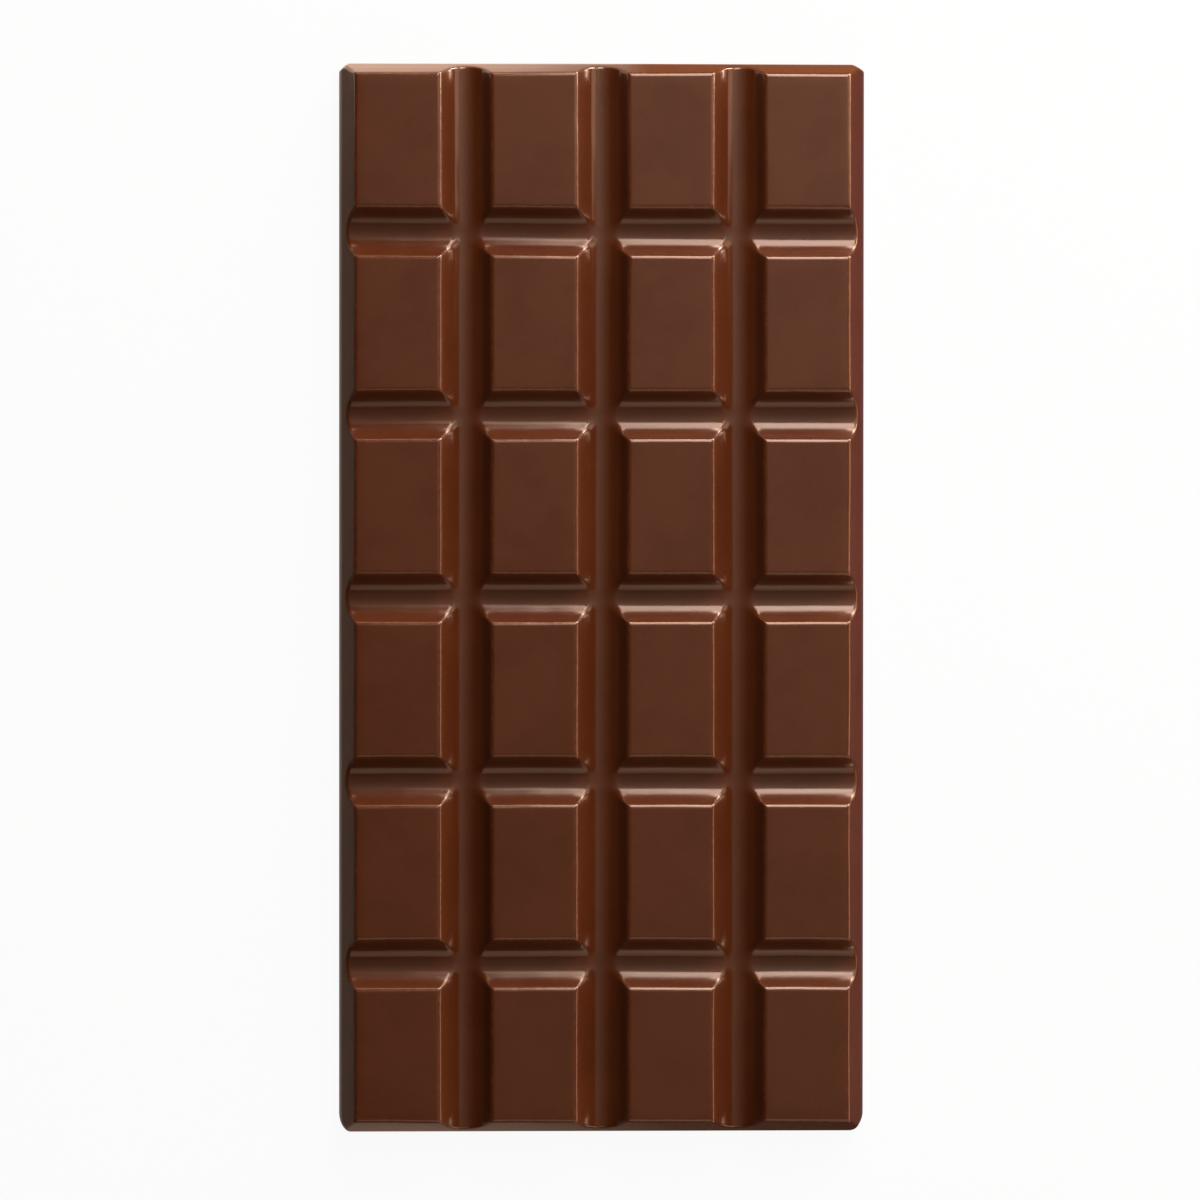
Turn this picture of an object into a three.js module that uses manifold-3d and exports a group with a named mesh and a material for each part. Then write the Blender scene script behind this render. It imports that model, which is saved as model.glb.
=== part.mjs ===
// Moulded tablet of chocolate: a slab divided into four columns and six rows
// of oblong blocks by round-bottomed snapping grooves.
//
// Millimetres, +Z up. The origin is on the flat underside, at its middle.
// Columns are counted along X, rows along Y; the patterned side faces +Z.

import * as THREE from 'three';
import { mergeVertices } from 'three/addons/utils/BufferGeometryUtils.js';
import Module from 'manifold-3d';

// ---------------------------------------------------------------- dimensions

const COLUMNS = 4;
const ROWS = 6;
const PITCH_X = 20.0;          // from one column of blocks to the next
const PITCH_Y = 26.8;          // from one row of blocks to the next
const BLOCK_X = 12.4;          // flat top of one block, edge to edge
const BLOCK_Y = 19.5;
const THICKNESS = 7.6;

// The outer sides lean in twice: a nearly upright rim at the foot, then a
// sloping shoulder up to the tops of the outer blocks.
const RIM_HEIGHT = 3.0;
const RIM_LEAN = 0.5;
const SHOULDER_X = 2.3;        // shoulder's width in plan, left and right sides
const SHOULDER_Y = 2.15;       // and at the two ends

// The snapping grooves: straight walls that run into a round floor.
const WALL_ANGLE = THREE.MathUtils.degToRad(57);   // from the horizontal
const FLOOR_RADIUS = 3.4;
const FLOOR_STEPS = 13;        // facets over the whole floor

// Rounding along the blocks' top edges.
const EDGE_RADIUS = 0.9;
const EDGE_STEPS = 5;

// Upright corners of the outline, in plan, as [along X, along Y]. The two far
// ones (+Y) are cut straight across, the two near ones (-Y) are rounded.
const CUT_LEFT = [1.25, 1.31];
const CUT_RIGHT = [1.67, 1.03];
const ROUND_LEFT = [1.8, 2.9];
const ROUND_RIGHT = [2.2, 2.9];
const CORNER_STEPS = 6;

// Sizes that follow from the ones above.
const TOPS_X = (COLUMNS - 1) * PITCH_X + BLOCK_X;
const TOPS_Y = (ROWS - 1) * PITCH_Y + BLOCK_Y;
const HALF_X = TOPS_X / 2 + SHOULDER_X + RIM_LEAN;
const HALF_Y = TOPS_Y / 2 + SHOULDER_Y + RIM_LEAN;
const GROOVE_X = PITCH_X - BLOCK_X;    // width of a groove between two columns
const GROOVE_Y = PITCH_Y - BLOCK_Y;    // width of a groove between two rows
const OVERRUN = 5;                     // how far a cutter passes the solid

// --------------------------------------------------------------- 2D profiles

// Points of the rounding where a face that slopes at `angle` meets the top
// face at u = edge, listed from the slope to the top face. The solid lies on
// the side of larger u.
function roundedEdge(edge, angle) {
  const cu = edge + EDGE_RADIUS * Math.tan(angle / 2);
  const cz = THICKNESS - EDGE_RADIUS;
  const points = [];
  for (let i = 0; i <= EDGE_STEPS; i++) {
    const a = angle * (1 - i / EDGE_STEPS);
    points.push([cu - EDGE_RADIUS * Math.sin(a), cz + EDGE_RADIUS * Math.cos(a)]);
  }
  return points;
}

// Cross-section of a groove of the given width, open at the top. The depth
// follows from the width, the wall's angle and the floor's radius.
function grooveSection(width) {
  const half = width / 2;
  const wall = half - FLOOR_RADIUS * Math.sin(WALL_ANGLE);
  const depth = wall * Math.tan(WALL_ANGLE) + FLOOR_RADIUS * (1 - Math.cos(WALL_ANGLE));
  const floorZ = THICKNESS - depth;

  const right = [];                    // from the middle of the floor outwards
  for (let i = 0; i <= FLOOR_STEPS; i++) {
    const a = -WALL_ANGLE + (2 * WALL_ANGLE * i) / FLOOR_STEPS;
    if (a <= 0) continue;
    right.push([FLOOR_RADIUS * Math.sin(a), floorZ + FLOOR_RADIUS * (1 - Math.cos(a))]);
  }
  right.push(...roundedEdge(half, WALL_ANGLE));
  const outer = right[right.length - 1][0];
  right.push([outer, THICKNESS + OVERRUN]);

  const left = right.map(([u, z]) => [-u, z]).reverse();
  return new THREE.Shape([...right, ...left].map(([u, z]) => new THREE.Vector2(u, z)));
}

// Cross-section of the whole slab across one direction: flat foot, rim,
// shoulder, rounded edge, flat top.
function slabSection(halfTop, shoulder) {
  const angle = Math.atan2(THICKNESS - RIM_HEIGHT, shoulder);
  const foot = halfTop + shoulder + RIM_LEAN;
  const right = [[foot, 0], [foot - RIM_LEAN, RIM_HEIGHT]];
  for (const [u, z] of roundedEdge(-halfTop, angle)) right.push([-u, z]);
  const left = right.map(([u, z]) => [-u, z]).reverse();
  return new THREE.Shape([...right, ...left].map(([u, z]) => new THREE.Vector2(u, z)));
}

// The outline seen from above: a rectangle with two cut and two round corners.
function outlineShape() {
  const shape = new THREE.Shape();
  const [lx, ly] = ROUND_LEFT;
  const [rx, ry] = ROUND_RIGHT;
  shape.moveTo(-HALF_X + lx, -HALF_Y);
  shape.lineTo(HALF_X - rx, -HALF_Y);
  shape.absellipse(HALF_X - rx, -HALF_Y + ry, rx, ry, -Math.PI / 2, 0, false);
  shape.lineTo(HALF_X, HALF_Y - CUT_RIGHT[1]);
  shape.lineTo(HALF_X - CUT_RIGHT[0], HALF_Y);
  shape.lineTo(-HALF_X + CUT_LEFT[0], HALF_Y);
  shape.lineTo(-HALF_X, HALF_Y - CUT_LEFT[1]);
  shape.lineTo(-HALF_X, -HALF_Y + ly);
  shape.absellipse(-HALF_X + lx, -HALF_Y + ly, lx, ly, Math.PI, 1.5 * Math.PI, false);
  return shape;
}

// ------------------------------------------------------------------- solids

const extrude = (shape, length) => new THREE.ExtrudeGeometry(shape, {
  depth: length, bevelEnabled: false, curveSegments: CORNER_STEPS,
}).translate(0, 0, -length / 2);

// A section drawn in (u, z) swept along Y, with u along X.
const sweepAlongY = (shape, length) => extrude(shape, length).rotateX(Math.PI / 2);

// The same section swept along X, with u along Y.
const sweepAlongX = (shape, length) => extrude(shape, length).applyMatrix4(
  new THREE.Matrix4().makeBasis(
    new THREE.Vector3(0, 1, 0), new THREE.Vector3(0, 0, 1), new THREE.Vector3(1, 0, 0)));

const wasm = await Module();
wasm.setup();

function solid(geometry) {
  geometry.deleteAttribute('normal');
  geometry.deleteAttribute('uv');
  const merged = mergeVertices(geometry, 1e-4);
  return new wasm.Manifold(new wasm.Mesh({
    numProp: 3,
    vertProperties: Float32Array.from(merged.attributes.position.array),
    triVerts: Uint32Array.from(merged.index.array),
  }));
}

function geometryOf(manifold) {
  const mesh = manifold.getMesh();
  const geometry = new THREE.BufferGeometry();
  geometry.setAttribute('position', new THREE.BufferAttribute(mesh.vertProperties.slice(), 3));
  geometry.setIndex(new THREE.BufferAttribute(mesh.triVerts.slice(), 1));
  geometry.computeVertexNormals();
  return geometry;
}

// The plain slab is what the two cross-sections and the outline share.
function slab() {
  const across = solid(sweepAlongY(slabSection(TOPS_X / 2, SHOULDER_X), 2 * (HALF_Y + OVERRUN)));
  const along = solid(sweepAlongX(slabSection(TOPS_Y / 2, SHOULDER_Y), 2 * (HALF_X + OVERRUN)));
  const outline = solid(extrude(outlineShape(), 4 * THICKNESS));
  return across.intersect(along).intersect(outline);
}

// Each groove runs right through the slab and out through both shoulders.
function grooves() {
  const cutters = [];
  for (let i = 1; i < COLUMNS; i++) {
    const x = (i - COLUMNS / 2) * PITCH_X;
    cutters.push(solid(sweepAlongY(grooveSection(GROOVE_X), 2 * (HALF_Y + OVERRUN)).translate(x, 0, 0)));
  }
  for (let j = 1; j < ROWS; j++) {
    const y = (j - ROWS / 2) * PITCH_Y;
    cutters.push(solid(sweepAlongX(grooveSection(GROOVE_Y), 2 * (HALF_X + OVERRUN)).translate(0, y, 0)));
  }
  return cutters;
}

let bar = slab();
for (const cutter of grooves()) bar = bar.subtract(cutter);

const chocolate = new THREE.MeshStandardMaterial({
  name: 'chocolate',
  color: new THREE.Color().setRGB(0.345, 0.204, 0.149, THREE.SRGBColorSpace),
  roughness: 0.35,
  metalness: 0,
});

const bar_mesh = new THREE.Mesh(geometryOf(bar), chocolate);
bar_mesh.name = 'chocolate_bar';

const group = new THREE.Group();
group.name = 'tablet';
group.add(bar_mesh);

export default group;
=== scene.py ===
import math

import bpy
import numpy as np
from mathutils import Euler, Matrix, Vector


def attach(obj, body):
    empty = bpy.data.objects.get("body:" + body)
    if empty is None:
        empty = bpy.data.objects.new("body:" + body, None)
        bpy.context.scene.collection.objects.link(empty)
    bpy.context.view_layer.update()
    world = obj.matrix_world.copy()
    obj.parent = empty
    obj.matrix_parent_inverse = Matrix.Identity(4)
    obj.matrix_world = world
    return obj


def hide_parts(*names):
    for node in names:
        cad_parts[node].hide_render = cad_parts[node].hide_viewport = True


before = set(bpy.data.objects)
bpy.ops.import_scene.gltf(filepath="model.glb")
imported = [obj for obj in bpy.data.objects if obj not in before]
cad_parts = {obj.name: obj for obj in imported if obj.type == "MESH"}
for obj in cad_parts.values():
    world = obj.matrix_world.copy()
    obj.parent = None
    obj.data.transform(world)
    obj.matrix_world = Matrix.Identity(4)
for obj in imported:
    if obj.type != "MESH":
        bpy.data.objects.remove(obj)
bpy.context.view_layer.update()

MM = 0.001

# ------------------------------------------------------------------ camera
# Straight above the bar, a little left of its middle.
cam_data = bpy.data.cameras.new("camera")
cam_data.sensor_fit = "HORIZONTAL"
cam_data.sensor_width = 36.0
cam_data.lens = 88.68
cam_data.clip_start, cam_data.clip_end = 0.01, 20.0
cam = bpy.data.objects.new("camera", cam_data)
cam.location = (-8.17 * MM, 2.57 * MM, 440 * MM)
cam.rotation_euler = Euler([math.radians(a) for a in (-0.3748, -1.0324, 0.0347)], "XYZ")
bpy.context.scene.collection.objects.link(cam)
bpy.context.scene.camera = cam

# -------------------------------------------------------- the bar's sizes, mm
COLUMNS, ROWS = 4, 6
PITCH_X, PITCH_Y = 20.0, 26.8
BLOCK_X, BLOCK_Y = 12.4, 19.5
THICK = 7.6
RIM_H, RIM_LEAN = 3.0, 0.5
SHOULDER_X, SHOULDER_Y = 2.3, 2.15
WALL = math.radians(57)
FLOOR_R = 3.4
EDGE_R = 0.90                     # rounding along the blocks' top edges
FOOT = 0.22                       # rounding at the very foot of the rim
# the outline's corners in plan, (along x, along y): the two far ones are cut
# straight across, the two near ones are rounded
CUT_LEFT, CUT_RIGHT = (1.25, 1.31), (1.67, 1.03)
ROUND_LEFT, ROUND_RIGHT = (1.8, 2.9), (2.2, 2.9)
TOPS_X = (COLUMNS - 1) * PITCH_X + BLOCK_X
TOPS_Y = (ROWS - 1) * PITCH_Y + BLOCK_Y
HX = TOPS_X / 2 + SHOULDER_X + RIM_LEAN
HY = TOPS_Y / 2 + SHOULDER_Y + RIM_LEAN
GROOVE_X, GROOVE_Y = PITCH_X - BLOCK_X, PITCH_Y - BLOCK_Y


def wave(x, y, seed, size):
    """Smooth unevenness about 1 high, its lumps about `size` mm across."""
    rng = np.random.default_rng(seed)
    out = np.zeros_like(x)
    for _ in range(9):
        a = rng.uniform(0, math.pi)
        k = 2 * math.pi / (size * rng.uniform(0.75, 2.2))
        out += np.sin(k * (x * math.cos(a) + y * math.sin(a)) + rng.uniform(0, 2 * math.pi))
    return out / math.sqrt(4.5)


def edge_depth(u, edge, angle, r):
    """Depth under the top of a slope at `angle` that starts at u = edge and
    falls towards smaller u, with its top edge rounded to radius r."""
    t = r * math.tan(angle / 2)
    slope = (edge - u) * math.tan(angle)
    s = np.clip(edge + t - u, 0, r * math.sin(angle))
    arc = r - np.sqrt(r * r - s * s)
    return np.where(u < edge + t - r * math.sin(angle), slope, np.where(u < edge + t, arc, 0.0))


def groove_depth(u, width):
    u = np.abs(u)
    half = width / 2
    wall = half - FLOOR_R * math.sin(WALL)
    deepest = wall * math.tan(WALL) + FLOOR_R * (1 - math.cos(WALL))
    c = np.clip(u, 0, FLOOR_R * math.sin(WALL))
    floor = deepest - (FLOOR_R - np.sqrt(FLOOR_R ** 2 - c ** 2))
    # the wall falls towards smaller u, from the block's edge at u = half
    return np.where(u < FLOOR_R * math.sin(WALL), floor, edge_depth(u, half, WALL, EDGE_R))


def deeper(a, b, k):
    """The larger of two depths, rounded where they cross, and exact where
    either is zero."""
    k = np.minimum(k, np.minimum(a, b)) + 1e-9
    h = np.maximum(k - np.abs(a - b), 0) / k
    return np.maximum(a, b) + h * h * k / 4


def smooth_min(a, b, k):
    h = np.maximum(k - np.abs(a - b), 0) / k
    return np.minimum(a, b) - h * h * k / 4


def inset(x, y):
    """Distance inwards from the outline: a rectangle whose two far corners
    are cut across and whose two near corners are round."""
    dx, dy = HX - np.abs(x), HY - np.abs(y)
    square = np.minimum(dx, dy)
    cx = np.where(x < 0, CUT_LEFT[0], CUT_RIGHT[0])
    cy = np.where(x < 0, CUT_LEFT[1], CUT_RIGHT[1])
    cut = smooth_min(square, (dx / cx + dy / cy - 1) / np.hypot(1 / cx, 1 / cy), 0.15)
    rx = np.where(x < 0, ROUND_LEFT[0], ROUND_RIGHT[0])
    ry = np.where(x < 0, ROUND_LEFT[1], ROUND_RIGHT[1])
    u, v = np.maximum((rx - dx) / rx, 0), np.maximum((ry - dy) / ry, 0)
    f = np.maximum(np.hypot(u, v), 1e-9)
    away = (1 - f) / np.hypot(u / f / rx, v / f / ry).clip(1e-9)
    rounded = np.where((u > 0) & (v > 0), np.minimum(away, square), square)
    return np.where(y > 0, cut, rounded)


def top_height(x, y):
    # the mould's edges are very slightly uneven
    xe = x + 0.030 * wave(x, y, 1, 16) + 0.010 * wave(x, y, 2, 4)
    ye = y + 0.030 * wave(x, y, 3, 16) + 0.010 * wave(x, y, 4, 4)
    v = np.zeros_like(x)
    for i in range(1, COLUMNS):
        v = np.maximum(v, groove_depth(xe - (i - COLUMNS / 2) * PITCH_X, GROOVE_X))
    h = np.zeros_like(x)
    for j in range(1, ROWS):
        h = np.maximum(h, groove_depth(ye - (j - ROWS / 2) * PITCH_Y, GROOVE_Y))
    cut = deeper(v, h, 0.5)
    ax = math.atan2(THICK - RIM_H, SHOULDER_X)
    ay = math.atan2(THICK - RIM_H, SHOULDER_Y)
    sx = edge_depth(-np.abs(xe), -TOPS_X / 2, ax, EDGE_R)
    sy = edge_depth(-np.abs(ye), -TOPS_Y / 2, ay, EDGE_R)
    rim = THICK - (FOOT + inset(x, y) * (RIM_H - FOOT) / RIM_LEAN)
    side = deeper(deeper(sx, sy, 0.6), np.maximum(rim, 0), 0.7)
    z = THICK - deeper(cut, side, 0.5)
    return z


def steps(parts):
    """Grid lines from a list of (end, how many) after the first start."""
    out = [parts[0]]
    for end, n in parts[1:]:
        start = out[-1]
        out += list(start + (end - start) * np.arange(1, n + 1) / n)
    return out


def lines(half, shoulder, pitch, count, groove, flat):
    """Grid lines across the bar: close together over edges and grooves."""
    t = EDGE_R * math.tan(WALL / 2) + 0.06
    w = EDGE_R * math.sin(WALL) - EDGE_R * math.tan(WALL / 2) + 0.06
    fl = FLOOR_R * math.sin(WALL)
    side = half - shoulder - RIM_LEAN            # the outer blocks' outer edge
    parts = [-half, (-half + 0.14, 2), (-half + RIM_LEAN - 0.16, 2), (-half + RIM_LEAN + 0.3, 4),
             (-side - 0.32, 8), (-side + 0.46, 8)]
    for i in range(count):
        c = (i + 1 - count / 2) * pitch
        if i < count - 1:
            g = groove / 2
            parts += [(c - g - t, flat), (c - g + w, 7), (c - fl, 3), (c + fl, 24), (c + g - w, 3), (c + g + t, 7)]
        else:
            parts += [(side - 0.46, flat)]
    parts += [(side + 0.32, 8), (half - RIM_LEAN - 0.3, 8), (half - RIM_LEAN + 0.16, 4),
              (half - 0.14, 2), (half, 2)]
    return np.array(steps(parts))


def build_bar():
    gx = lines(HX, SHOULDER_X, PITCH_X, COLUMNS, GROOVE_X, 9)
    gy = lines(HY, SHOULDER_Y, PITCH_Y, ROWS, GROOVE_Y, 13)
    nx, ny = len(gx), len(gy)
    x, y = np.meshgrid(gx, gy, indexing="ij")
    # draw the grid's four corners in to the outline
    q = 3.2
    cx, cy = np.sign(x) * (HX - q), np.sign(y) * (HY - q)
    a, b = (x - cx) / q * np.sign(x), (y - cy) / q * np.sign(y)
    at = (a > 0) & (b > 0)
    m = np.where(at, np.maximum(a, b), 1.0)
    dx, dy = np.sign(x) * a / m * q, np.sign(y) * b / m * q
    lo, hi = np.full_like(x, 0.5), np.full_like(x, 1.0)
    for _ in range(40):
        mid = (lo + hi) / 2
        inside = inset(cx + dx * mid, cy + dy * mid) > 0
        lo, hi = np.where(inside, mid, lo), np.where(inside, hi, mid)
    pull = m * (1 - m * m * (1 - lo))
    x = np.where(at, cx + dx * pull, x)
    y = np.where(at, cy + dy * pull, y)
    z = top_height(x, y)
    tops = 1 - np.clip((THICK - z) / 0.05, 0, 1)
    z = z + (0.004 * wave(x, y, 5, 9) - 0.009) * tops
    z = np.minimum(z, THICK)

    verts = [np.stack([x, y, z], -1).reshape(-1, 3)]
    idx = np.arange(nx * ny).reshape(nx, ny)
    quads = np.stack([idx[:-1, :-1], idx[1:, :-1], idx[1:, 1:], idx[:-1, 1:]], -1).reshape(-1, 4)
    faces = [list(q) for q in quads.tolist()]

    # the outline, anticlockwise from above
    ring = list(idx[:-1, 0]) + list(idx[-1, :-1]) + list(idx[:0:-1, -1]) + list(idx[0, :0:-1])
    p = verts[0][ring]
    ox, oy = p[:, 0], p[:, 1]
    e = 1e-4
    nrm = np.stack([inset(ox - e, oy) - inset(ox + e, oy), inset(ox, oy - e) - inset(ox, oy + e)], -1)
    nrm /= np.linalg.norm(nrm, axis=1)[:, None]
    last, base = ring, nx * ny
    for inn, lift in ((0.035, 0.10), (0.11, 0.03), (0.24, 0.0)):
        q = np.stack([ox - nrm[:, 0] * inn, oy - nrm[:, 1] * inn, np.full(len(ring), lift)], -1)
        verts.append(q)
        new = list(range(base, base + len(ring)))
        base += len(ring)
        for i in range(len(ring)):
            j = (i + 1) % len(ring)
            faces.append([last[i], new[i], new[j], last[j]])
        last = new

    # the underside: a gently uneven sheet, coarser than the top
    ux = np.linspace(-HX + 1.0, HX - 1.0, 40)
    uy = np.linspace(-HY + 1.0, HY - 1.0, 80)
    bx, by = np.meshgrid(ux, uy, indexing="ij")
    fade = np.clip((inset(bx, by) - 1.0) / 5.0, 0, 1)
    bz = fade * np.clip(0.07 + 0.035 * wave(bx, by, 7, 30) + 0.018 * wave(bx, by, 8, 9), 0, 0.25)
    verts.append(np.stack([bx, by, bz], -1).reshape(-1, 3))
    ub = base + np.arange(bx.size).reshape(bx.shape)
    base += bx.size
    quads = np.stack([ub[:-1, :-1], ub[:-1, 1:], ub[1:, 1:], ub[1:, :-1]], -1).reshape(-1, 4)
    faces += quads.tolist()
    inner = list(ub[:-1, 0]) + list(ub[-1, :-1]) + list(ub[:0:-1, -1]) + list(ub[0, :0:-1])
    allv = np.concatenate(verts)

    def place(ids):
        u, v = allv[ids, 0] / HX, allv[ids, 1] / HY
        m = np.maximum(np.abs(u), np.abs(v))
        u, v = u / m, v / m
        s = np.where(v <= -0.999999, 0 + (u + 1) / 2, 0.0)
        s = np.where((u >= 0.999999) & (v > -0.999999), 1 + (v + 1) / 2, s)
        s = np.where((v >= 0.999999) & (u < 0.999999), 2 + (1 - u) / 2, s)
        s = np.where((u <= -0.999999) & (v < 0.999999) & (v > -0.999999), 3 + (1 - v) / 2, s)
        return s

    so, si = place(last), place(inner)
    so[0], si[0] = 0.0, 0.0
    i = j = 0
    n, m = len(last), len(inner)
    while i < n or j < m:
        no = so[i + 1] if i + 1 < n else 4.0
        ni = si[j + 1] if j + 1 < m else 4.0
        if j >= m or (i < n and no <= ni):
            faces.append([last[i % n], inner[j % m], last[(i + 1) % n]])
            i += 1
        else:
            faces.append([last[i % n], inner[j % m], inner[(j + 1) % m]])
            j += 1

    mesh = bpy.data.meshes.new("tablet")
    mesh.from_pydata((allv * MM).tolist(), [], faces)
    mesh.validate()
    mesh.polygons.foreach_set("use_smooth", np.ones(len(mesh.polygons), dtype=bool))
    mesh.update()
    obj = bpy.data.objects.new("tablet", mesh)
    bpy.context.scene.collection.objects.link(obj)
    return obj


# ---------------------------------------------------------------- materials
def link(nt, value, socket):
    if isinstance(value, (int, float)):
        socket.default_value = value
    else:
        nt.links.new(value, socket)


def math_node(nt, op, a, b=0.0, clamp=False):
    n = nt.nodes.new("ShaderNodeMath")
    n.operation = op
    n.use_clamp = clamp
    link(nt, a, n.inputs[0])
    link(nt, b, n.inputs[1])
    return n.outputs[0]


def smooth(nt, value, low, high, start=0.0, end=1.0):
    """start below low, end above high, and a smooth step between."""
    n = nt.nodes.new("ShaderNodeMapRange")
    n.interpolation_type = "SMOOTHSTEP"
    link(nt, value, n.inputs["Value"])
    n.inputs["From Min"].default_value, n.inputs["From Max"].default_value = low, high
    n.inputs["To Min"].default_value, n.inputs["To Max"].default_value = start, end
    return n.outputs[0]


def noise(nt, where, size, detail=2.0, roughness=0.5, stretch=None):
    """Noise whose lumps are about `size` mm across; where is in mm."""
    if stretch:
        s = nt.nodes.new("ShaderNodeVectorMath")
        s.operation = "MULTIPLY"
        nt.links.new(where, s.inputs[0])
        s.inputs[1].default_value = stretch
        where = s.outputs[0]
    n = nt.nodes.new("ShaderNodeTexNoise")
    n.inputs["Scale"].default_value = 1 / size
    n.inputs["Detail"].default_value = detail
    n.inputs["Roughness"].default_value = roughness
    nt.links.new(where, n.inputs["Vector"])
    return n.outputs["Fac"]


def mix(nt, factor, a, b):
    n = nt.nodes.new("ShaderNodeMix")
    n.data_type = "RGBA"
    link(nt, factor, n.inputs["Factor"])
    for value, socket in ((a, n.inputs[6]), (b, n.inputs[7])):
        if isinstance(value, tuple):
            socket.default_value = (*value, 1)
        else:
            nt.links.new(value, socket)
    return n.outputs[2]


def chocolate_material():
    """Moulded milk chocolate: glossy where it touched the mould, a little
    scuffed on the walls and edges, dull and faintly rippled underneath."""
    mat = bpy.data.materials.new("chocolate")
    mat.use_nodes = True
    nt = mat.node_tree
    nt.nodes.clear()
    out = nt.nodes.new("ShaderNodeOutputMaterial")
    bsdf = nt.nodes.new("ShaderNodeBsdfPrincipled")
    nt.links.new(bsdf.outputs[0], out.inputs[0])
    coord = nt.nodes.new("ShaderNodeTexCoord")
    to_mm = nt.nodes.new("ShaderNodeVectorMath")
    to_mm.operation = "SCALE"
    to_mm.inputs["Scale"].default_value = 1000.0
    nt.links.new(coord.outputs["Object"], to_mm.inputs[0])
    p = to_mm.outputs[0]
    xyz = nt.nodes.new("ShaderNodeSeparateXYZ")
    nt.links.new(p, xyz.inputs[0])
    z = xyz.outputs[2]

    blotch = noise(nt, p, 11.0, 3.0, 0.55)
    cloud = noise(nt, p, 2.3, 3.0, 0.6)
    grain = noise(nt, p, 0.24, 2.0, 0.6)
    chips = noise(nt, p, 0.9, 4.0, 0.7)
    swell = noise(nt, p, 3.2, 0.0)

    below = smooth(nt, z, 0.12, 0.45, 1.0, 0.0)          # the underside
    top = smooth(nt, z, THICK - 0.045, THICK - 0.022)    # the blocks' flat tops
    wall = math_node(nt, "MULTIPLY", smooth(nt, z, 4.9, 5.9), math_node(nt, "SUBTRACT", 1.0, top))
    edge = math_node(nt, "MULTIPLY", smooth(nt, z, THICK - 0.42, THICK - 0.22), math_node(nt, "SUBTRACT", 1.0, top))

    # colour: broad clouds of darker and lighter brown, fine specks, and
    # paler, slightly greyer chocolate where the edges have rubbed
    colour = mix(nt, smooth(nt, blotch, 0.36, 0.64), (0.0795, 0.0226, 0.0083), (0.0905, 0.0274, 0.0107))
    colour = mix(nt, smooth(nt, cloud, 0.30, 0.70, 0.0, 0.30), colour, (0.094, 0.0300, 0.0125))
    colour = mix(nt, smooth(nt, grain, 0.28, 0.45, 0.28, 0.0), colour, (0.060, 0.0160, 0.0058))
    colour = mix(nt, smooth(nt, grain, 0.60, 0.74, 0.0, 0.30), colour, (0.125, 0.0460, 0.0210))
    rubbed = math_node(nt, "MULTIPLY", edge, smooth(nt, chips, 0.40, 0.66, 0.10, 0.55))
    colour = mix(nt, rubbed, colour, (0.135, 0.0500, 0.0240))
    dull = mix(nt, smooth(nt, cloud, 0.3, 0.7), (0.085, 0.0290, 0.0125), (0.110, 0.0400, 0.0185))
    colour = mix(nt, math_node(nt, "MULTIPLY", below, 0.8), colour, dull)
    nt.links.new(colour, bsdf.inputs["Base Color"])

    # roughness
    rough = math_node(nt, "ADD", 0.150, math_node(nt, "MULTIPLY", wall, 0.11))
    rough = math_node(nt, "SUBTRACT", rough, math_node(nt, "MULTIPLY", edge, 0.115))
    rough = math_node(nt, "ADD", rough, math_node(nt, "MULTIPLY", math_node(nt, "SUBTRACT", cloud, 0.5), 0.05))
    rough = math_node(nt, "ADD", rough, math_node(nt, "MULTIPLY", rubbed, 0.10))
    streaks = noise(nt, p, 1.1, 3.0, 0.6, (0.12, 1.0, 1.0))
    under = math_node(nt, "ADD", 0.30, math_node(nt, "MULTIPLY", streaks, 0.18))
    rough = math_node(nt, "ADD", math_node(nt, "MULTIPLY", rough, math_node(nt, "SUBTRACT", 1.0, below)),
                      math_node(nt, "MULTIPLY", under, below))
    nt.links.new(rough, bsdf.inputs["Roughness"])

    # relief, in mm: the mould's fine grain, and ripples and pinholes below
    pin = nt.nodes.new("ShaderNodeTexVoronoi")
    pin.inputs["Scale"].default_value = 1 / 5.5
    nt.links.new(p, pin.inputs["Vector"])
    hole = smooth(nt, pin.outputs["Distance"], 0.035, 0.085, -0.10, 0.0)
    ripple = noise(nt, p, 3.4, 2.0, 0.5, (0.35, 1.0, 1.0))
    upper = math_node(nt, "ADD", math_node(nt, "MULTIPLY", grain, 0.0002),
                      math_node(nt, "MULTIPLY", swell, 0.006))
    upper = math_node(nt, "SUBTRACT", upper, math_node(nt, "MULTIPLY", math_node(nt, "MULTIPLY", edge, chips), 0.007))
    lower = math_node(nt, "ADD", math_node(nt, "MULTIPLY", ripple, 0.06),
                      math_node(nt, "ADD", math_node(nt, "MULTIPLY", streaks, 0.012), hole))
    height = math_node(nt, "ADD", upper, math_node(nt, "MULTIPLY", lower, below))
    bump = nt.nodes.new("ShaderNodeBump")
    bump.inputs["Strength"].default_value = 1.0
    bump.inputs["Distance"].default_value = 0.001
    nt.links.new(height, bump.inputs["Height"])
    nt.links.new(bump.outputs[0], bsdf.inputs["Normal"])
    bsdf.inputs["IOR"].default_value = 1.5
    return mat


bar = build_bar()
bar.data.materials.append(chocolate_material())
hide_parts("chocolate_bar")
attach(bar, "root")

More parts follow.
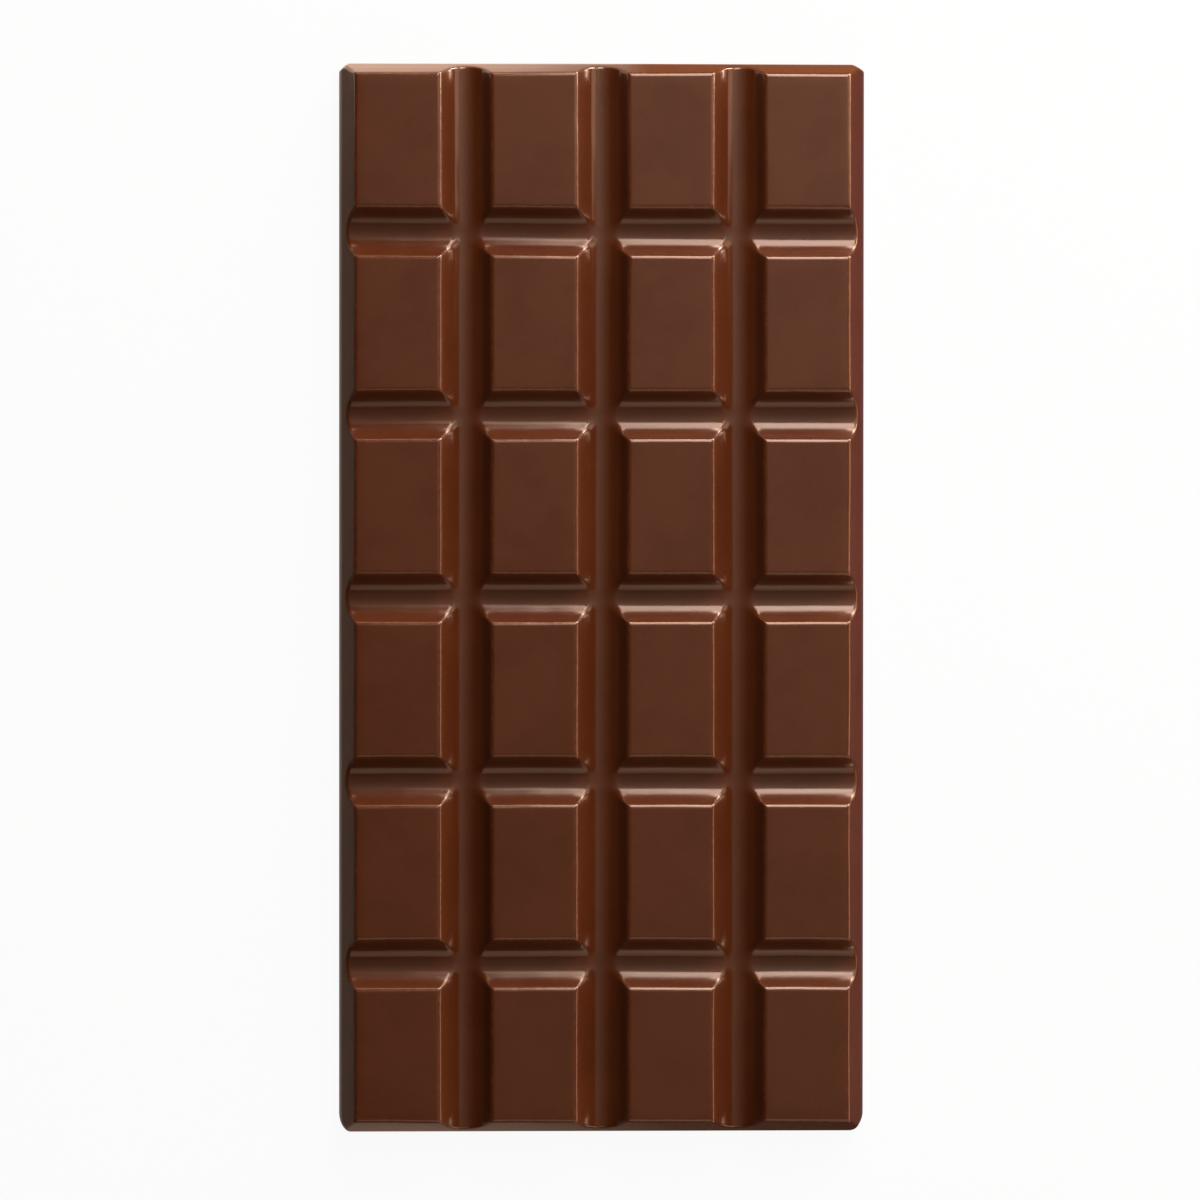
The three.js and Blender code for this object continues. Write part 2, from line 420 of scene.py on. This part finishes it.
# ------------------------------------------------------------ floor, lights
# A pale floor. What the glossy sides of the bar pick up from it is a painted reflection, set apart
# from how it looks: a glow that only reflections see, bright beyond the far end's left half, dim elsewhere.
def ramp(nt, value, low, high, stops):
    """A colour ramp over value = low..high; stops are (value, grey)."""
    to = nt.nodes.new("ShaderNodeMapRange")
    to.inputs["From Min"].default_value, to.inputs["From Max"].default_value = low, high
    nt.links.new(value, to.inputs["Value"])
    node = nt.nodes.new("ShaderNodeValToRGB")
    nt.links.new(to.outputs[0], node.inputs[0])
    el = node.color_ramp.elements
    while len(el) < len(stops):
        el.new(0.5)
    for e, (v, g) in zip(el, stops):
        e.position = (v - low) / (high - low)
        e.color = (g, g, g, 1)
    return node.outputs[0]


def floor_material():
    mat = bpy.data.materials.new("pale_floor")
    mat.use_nodes = True
    nt = mat.node_tree
    nt.nodes.clear()
    out = nt.nodes.new("ShaderNodeOutputMaterial")
    where = nt.nodes.new("ShaderNodeTexCoord")
    xyz = nt.nodes.new("ShaderNodeSeparateXYZ")
    nt.links.new(where.outputs["Object"], xyz.inputs[0])
    x, y = xyz.outputs[0], xyz.outputs[1]
    # painted reflection: how bright the glow is beyond the far end, beyond the near end and beside the bar
    far = ramp(nt, x, -0.045, 0.045, [(-0.045, 1.0), (-0.036, 0.93), (-0.02, 0.78), (-0.010, 0.63), (-0.004, 0.45),
                                      (0.003, 0.36), (0.007, 0.22), (0.045, 0.25)])
    near = ramp(nt, x, -0.045, 0.045, [(-0.045, 0.13), (-0.027, 0.17), (-0.010, 0.12), (0.0, 0.085), (0.010, 0.042),
                                       (0.045, 0.02)])
    left = ramp(nt, y, -0.08, 0.08, [(-0.08, 0.095), (0.0, 0.10), (0.06, 0.11), (0.08, 0.15)])
    is_far = math_node(nt, "GREATER_THAN", y, HY * MM)
    is_near = math_node(nt, "LESS_THAN", y, -HY * MM)
    is_left = math_node(nt, "LESS_THAN", x, 0.0)
    is_right = math_node(nt, "SUBTRACT", 1.0, is_left)
    beside = math_node(nt, "SUBTRACT", math_node(nt, "SUBTRACT", 1.0, is_far), is_near)
    side = math_node(nt, "MULTIPLY", beside, math_node(
        nt, "ADD", math_node(nt, "MULTIPLY", is_left, left),
        math_node(nt, "MULTIPLY", is_right, 0.055)))
    painted_reflection_strength = math_node(nt, "ADD", math_node(nt, "ADD", math_node(nt, "MULTIPLY", is_far, far),
                                           math_node(nt, "MULTIPLY", is_near, near)), side)
    # painted reflection: an emitting glow that only the bar's reflections see, warm, pinker beside the right side and
    # orange beyond the far right
    glow = nt.nodes.new("ShaderNodeEmission")
    painted_reflection_tint = mix(nt, math_node(nt, "MULTIPLY", is_right, beside), (1.0, 0.728, 0.565), (1.0, 0.67, 0.80))
    painted_reflection_tint = mix(nt, math_node(nt, "MULTIPLY", smooth(nt, x, 0.002, 0.008), is_far), painted_reflection_tint, (1.0, 0.40, 0.19))
    nt.links.new(painted_reflection_tint, glow.inputs["Color"])
    nt.links.new(math_node(nt, "MULTIPLY", painted_reflection_strength, 2.35), glow.inputs["Strength"])
    # as the camera sees it: nearly white, with a faint soft shadow
    diffuse = nt.nodes.new("ShaderNodeBsdfDiffuse")
    diffuse.inputs["Color"].default_value = (0.80, 0.80, 0.80, 1)
    white = nt.nodes.new("ShaderNodeEmission")
    white.inputs["Color"].default_value = (1, 1, 1, 1)
    white.inputs["Strength"].default_value = 0.935
    shadow = nt.nodes.new("ShaderNodeBsdfDiffuse")
    shadow.inputs["Color"].default_value = (0.05, 0.068, 0.092, 1)
    seen = nt.nodes.new("ShaderNodeAddShader")
    nt.links.new(white.outputs[0], seen.inputs[0])
    nt.links.new(shadow.outputs[0], seen.inputs[1])
    # reflections see the painted glow, light bouncing off the floor sees a plain grey, the camera sees near-white
    path = nt.nodes.new("ShaderNodeLightPath")
    gloss = nt.nodes.new("ShaderNodeMixShader")
    nt.links.new(path.outputs["Is Glossy Ray"], gloss.inputs[0])
    nt.links.new(diffuse.outputs[0], gloss.inputs[1])
    nt.links.new(glow.outputs[0], gloss.inputs[2])
    last = nt.nodes.new("ShaderNodeMixShader")
    nt.links.new(path.outputs["Is Camera Ray"], last.inputs[0])
    nt.links.new(gloss.outputs[0], last.inputs[1])
    nt.links.new(seen.outputs[0], last.inputs[2])
    nt.links.new(last.outputs[0], out.inputs[0])
    return mat


S = 3.0
floor_mesh = bpy.data.meshes.new("floor")
floor_mesh.from_pydata([(-S, -S, 0), (S, -S, 0), (S, S, 0), (-S, S, 0)], [], [(0, 1, 2, 3)])
floor_mesh.materials.append(floor_material())
floor = bpy.data.objects.new("floor", floor_mesh)
floor.location.z = -0.0002
bpy.context.scene.collection.objects.link(floor)


def panel(name, centre, u, v, radiance, color=(1, 0.656, 0.445), glint=False):
    """A soft rectangular light with edges u and v, shining away from u x v."""
    u, v = Vector(u), Vector(v)
    x, y = u.normalized(), v.normalized()
    data = bpy.data.lights.new(name, "AREA")
    data.shape = "RECTANGLE"
    data.size, data.size_y = u.length, v.length
    data.energy = math.pi * u.length * v.length * radiance
    data.color = color
    o = bpy.data.objects.new(name, data)
    o.matrix_world = Matrix((x, y, x.cross(y))).transposed().to_4x4()
    o.location = centre
    o.visible_camera = False
    o.visible_diffuse = not glint
    bpy.context.scene.collection.objects.link(o)
    return o


# Low lights that only glint along the edges are kept off the matt colour.
panel("key", (0.062, 0.465, 0.295), (0.125, 0, 0), (0, 0.27, -0.23), 10.5)
panel("key_side", (0.155, 0.385, 0.40), (0.06, 0, 0), (0, 0.43, 0), 13.2)
panel("key_gloss", (0.0275, 0.472, 0.302), (0.055, 0, 0), (0, 0.27, -0.23), 1.93, (0.26, 0.65, 1), glint=True)
panel("key_gloss_right", (0.09, 0.472, 0.302), (0.07, 0, 0), (0, 0.27, -0.23), 3.2, (0.625, 0.78, 1), glint=True)
panel("key_gloss_left", (-0.012, 0.34, 0.40), (0.05, 0, 0), (0, 0.17, 0), 3.9, (1, 0.72, 0.57), glint=True)
panel("key_gloss_end", (-0.062, 0.34, 0.40), (0.05, 0, 0), (0, 0.17, 0), 0.45, (1, 0.72, 0.57), glint=True)
panel("far", (0.40, 0.60, 0.155), (0.40, 0, 0), (0, 0, -0.17), 6.6)
panel("far_high", (0.40, 0.60, 0.33), (0.40, 0, 0), (0, 0, -0.18), 12.4)
panel("far_right", (0.80, 0.60, 0.16), (0.40, 0, 0), (0, 0, -0.18), 11.2)
panel("far_glint", (0.06, 0.60, 0.15), (0.12, 0, 0), (0, 0, -0.11), 22.0, glint=True)
panel("far_glint_left", (-0.06, 0.60, 0.14), (0.12, 0, 0), (0, 0, -0.09), 6.0, glint=True)
panel("corner_glint", (0.305, 0.625, 0.12), (0.19, -0.06, 0), (0, 0, -0.20), 50.0, (1, 0.76, 0.62), glint=True)
panel("right", (0.60, 0.30, 0.13), (0, 0.60, 0), (0, 0, 0.24), 2.3)
panel("right_top", (0.43, 0.29, 0.40), (0.34, 0, 0), (0, 0.30, 0), 3.3)
panel("right_glint", (0.60, 0.10, 0.052), (0, 0.2, 0), (0, 0, 0.10), 37.0, glint=True)
panel("right_glint_far", (0.605, 0.34, 0.052), (0, 0.32, 0), (0, 0, 0.10), 36.0, glint=True)
panel("right_glint_near", (0.60, -0.12, 0.052), (0, 0.24, 0), (0, 0, 0.10), 6.0, glint=True)
panel("right_near", (0.60, -0.30, 0.13), (0, 0.60, 0), (0, 0, 0.24), 0.8)
panel("near", (0.10, -0.475, 0.32), (0.40, 0, 0), (0, 0.25, 0.16), 1.2)
panel("near_low", (0.35, -0.60, 0.05), (0.5, 0, 0), (0, 0, 0.10), 6.3)
panel("near_high", (0.30, -0.61, 0.275), (0.6, 0, 0), (0, 0, 0.35), 0.55)


def overhead_material():
    """A dim scrim over the bar, brighter towards the key light."""
    mat = bpy.data.materials.new("scrim")
    mat.use_nodes = True
    nt = mat.node_tree
    nt.nodes.clear()
    out = nt.nodes.new("ShaderNodeOutputMaterial")
    where = nt.nodes.new("ShaderNodeTexCoord")
    xyz = nt.nodes.new("ShaderNodeSeparateXYZ")
    nt.links.new(where.outputs["Object"], xyz.inputs[0])
    along = ramp(nt, xyz.outputs[1], -0.35, 0.26, [(-0.35, 0.08), (-0.22, 0.22), (-0.15, 0.28), (-0.05, 0.32),
                                                  (0.04, 0.45), (0.11, 0.62), (0.17, 0.72), (0.26, 0.95)])
    across = ramp(nt, xyz.outputs[0], -0.30, 0.26, [(-0.30, 0.05), (-0.11, 0.26), (-0.037, 0.43), (0.03, 0.60),
                                                   (0.09, 0.70), (0.15, 0.86), (0.26, 0.80)])
    glow = nt.nodes.new("ShaderNodeEmission")
    glow.inputs["Color"].default_value = (0.84, 1, 0.81, 1)
    nt.links.new(math_node(nt, "MULTIPLY", math_node(nt, "MULTIPLY", along, across), 1.46), glow.inputs["Strength"])
    nt.links.new(glow.outputs[0], out.inputs[0])
    return mat


scrim_mesh = bpy.data.meshes.new("scrim")
scrim_mesh.from_pydata([(-0.30, -0.35, 0), (-0.30, 0.26, 0), (0.26, 0.26, 0), (0.26, -0.35, 0)], [], [(0, 1, 2, 3)])
scrim_mesh.materials.append(overhead_material())
scrim = bpy.data.objects.new("scrim", scrim_mesh)
scrim.location.z = 0.40
scrim.visible_camera = False
scrim.visible_shadow = False
bpy.context.scene.collection.objects.link(scrim)

world = bpy.data.worlds.new("studio")
world.use_nodes = True
wt = world.node_tree
wt.nodes.clear()
world_out = wt.nodes.new("ShaderNodeOutputWorld")
pale = wt.nodes.new("ShaderNodeBackground")
pale.inputs["Color"].default_value = (0.95, 0.95, 0.95, 1)
dim = wt.nodes.new("ShaderNodeBackground")
dim.inputs["Color"].default_value = (1, 0.80, 0.62, 1)
dim.inputs["Strength"].default_value = 0.003
world_mix = wt.nodes.new("ShaderNodeMixShader")
world_path = wt.nodes.new("ShaderNodeLightPath")
wt.links.new(world_path.outputs["Is Camera Ray"], world_mix.inputs[0])
wt.links.new(dim.outputs[0], world_mix.inputs[1])
wt.links.new(pale.outputs[0], world_mix.inputs[2])
wt.links.new(world_mix.outputs[0], world_out.inputs[0])
bpy.context.scene.world = world
bpy.context.scene.view_settings.view_transform = "Standard"
